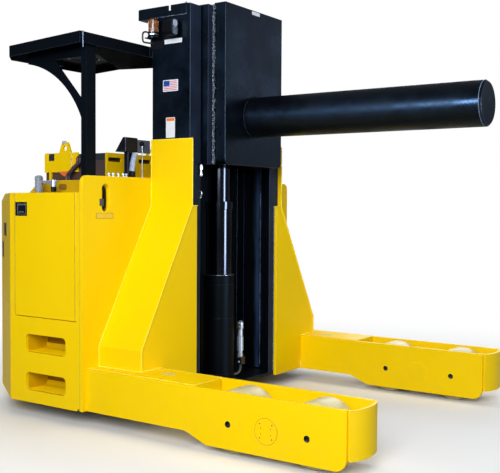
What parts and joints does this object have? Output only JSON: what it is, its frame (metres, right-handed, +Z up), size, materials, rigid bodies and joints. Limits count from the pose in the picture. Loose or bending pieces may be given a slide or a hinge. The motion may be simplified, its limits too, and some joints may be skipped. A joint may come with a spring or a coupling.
{
  "type": "coil handling forklift",
  "caption": "Ride-on straddle truck with a wide mast, a single round ram for steel coils, yellow body and outriggers, side entry door and overhead guard.",
  "frame": {"origin": "on the floor under the middle of the truck's length and width", "axes": "+X forward along the ram, +Y to the truck's left, +Z up"},
  "size_m": [3.546, 2.63, 3.014],
  "materials": {
    "body_yellow": "gloss enamel",
    "frame_black": "satin enamel",
    "black_plastic": "moulded",
    "cylinder_chrome": "hard chrome",
    "cream_polyurethane": "cast polyurethane",
    "drive_tyre": "solid rubber",
    "roller_steel": "machined",
    "pad_fabric": "textured vinyl",
    "amber_lens": "moulded lens",
    "lamp_black": "moulded"
  },
  "bodies": {
    "root": {"chassis_frame": "frame_black", "rear_counterweight": "body_yellow", "rear_cover": "body_yellow", "front_bulkhead": "body_yellow", "step_pockets": "body_yellow", "operator_deck": "black_plastic", "battery_partition": "body_yellow", "battery_floor": "frame_black", "battery_case": "black_plastic", "battery_lid": "black_plastic", "battery_frame": "body_yellow", "battery_cables": "black_plastic", "inner_cover": "body_yellow", "right_side_panel": "body_yellow", "right_outrigger": "body_yellow", "right_bogie": "frame_black", "right_mast_rail": "frame_black", "right_mast_brace": "body_yellow", "left_side_panel": "body_yellow", "left_outrigger": "body_yellow", "left_bogie": "frame_black", "left_mast_rail": "frame_black", "left_mast_brace": "body_yellow", "mast_back_plate": "frame_black", "mast_top_plate": "frame_black", "lift_cylinder_barrel": "frame_black", "overhead_guard": "frame_black", "guard_post": "frame_black", "control_console": "black_plastic", "control_levers": "roller_steel", "control_screen": "black_plastic", "leaning_rest": "pad_fabric", "rest_post": "roller_steel", "beacon": "amber_lens", "beacon_bracket": "frame_black", "work_light": "lamp_black"},
    "carriage": {"carriage_plate": "frame_black", "carriage_side_bars": "frame_black", "carriage_rollers": "roller_steel", "coil_ram": "frame_black", "lift_rod": "cylinder_chrome"},
    "cylinder_stage_1": {"cylinder_stage_1": "cylinder_chrome"},
    "cylinder_stage_2": {"cylinder_stage_2": "cylinder_chrome"},
    "drive_yoke": {"drive_yoke": "frame_black"},
    "drive_wheel": {"drive_wheel": "drive_tyre"},
    "right_front_load_wheel": {"right_front_load_wheel": "cream_polyurethane"},
    "right_rear_load_wheel": {"right_rear_load_wheel": "cream_polyurethane"},
    "left_front_load_wheel": {"left_front_load_wheel": "cream_polyurethane"},
    "left_rear_load_wheel": {"left_rear_load_wheel": "cream_polyurethane"},
    "entry_door": {"entry_door": "body_yellow", "door_latch": "black_plastic"}
  },
  "joints": [
    {"name": "mast_lift", "type": "slide", "parent": "root", "child": "carriage", "axis": [0, 0, 1], "range_m": [-1.65, 0]},
    {"name": "stage_1_slide", "type": "slide", "parent": "root", "child": "cylinder_stage_1", "axis": [0, 0, 1], "range_m": [-0.51, 0]},
    {"name": "stage_2_slide", "type": "slide", "parent": "cylinder_stage_1", "child": "cylinder_stage_2", "axis": [0, 0, 1], "range_m": [-0.56, 0]},
    {"name": "steering", "type": "hinge", "parent": "root", "child": "drive_yoke", "pos_m": [-1.234, 0, 0.19], "axis": [0, 0, 1], "range_deg": [-90, 90]},
    {"name": "drive_wheel_spin", "type": "hinge", "parent": "drive_yoke", "child": "drive_wheel", "pos_m": [-1.234, 0, 0.19], "axis": [0, 1, 0], "continuous": true},
    {"name": "right_front_wheel_spin", "type": "hinge", "parent": "root", "child": "right_front_load_wheel", "pos_m": [1.183, -1.1075, 0.196], "axis": [0, 1, 0], "continuous": true},
    {"name": "right_rear_wheel_spin", "type": "hinge", "parent": "root", "child": "right_rear_load_wheel", "pos_m": [0.625, -1.1075, 0.196], "axis": [0, 1, 0], "continuous": true},
    {"name": "left_front_wheel_spin", "type": "hinge", "parent": "root", "child": "left_front_load_wheel", "pos_m": [1.183, 1.1075, 0.196], "axis": [0, 1, 0], "continuous": true},
    {"name": "left_rear_wheel_spin", "type": "hinge", "parent": "root", "child": "left_rear_load_wheel", "pos_m": [0.625, 1.1075, 0.196], "axis": [0, 1, 0], "continuous": true},
    {"name": "door_hinge", "type": "hinge", "parent": "root", "child": "entry_door", "pos_m": [-0.64, -1.309, 0.72], "axis": [0, 0, 1], "range_deg": [0, 90]}
  ],
  "couplings": [
    {"joint": "stage_1_slide", "follows": "mast_lift", "ratio": 0.30909},
    {"joint": "stage_2_slide", "follows": "mast_lift", "ratio": 0.33939}
  ]
}
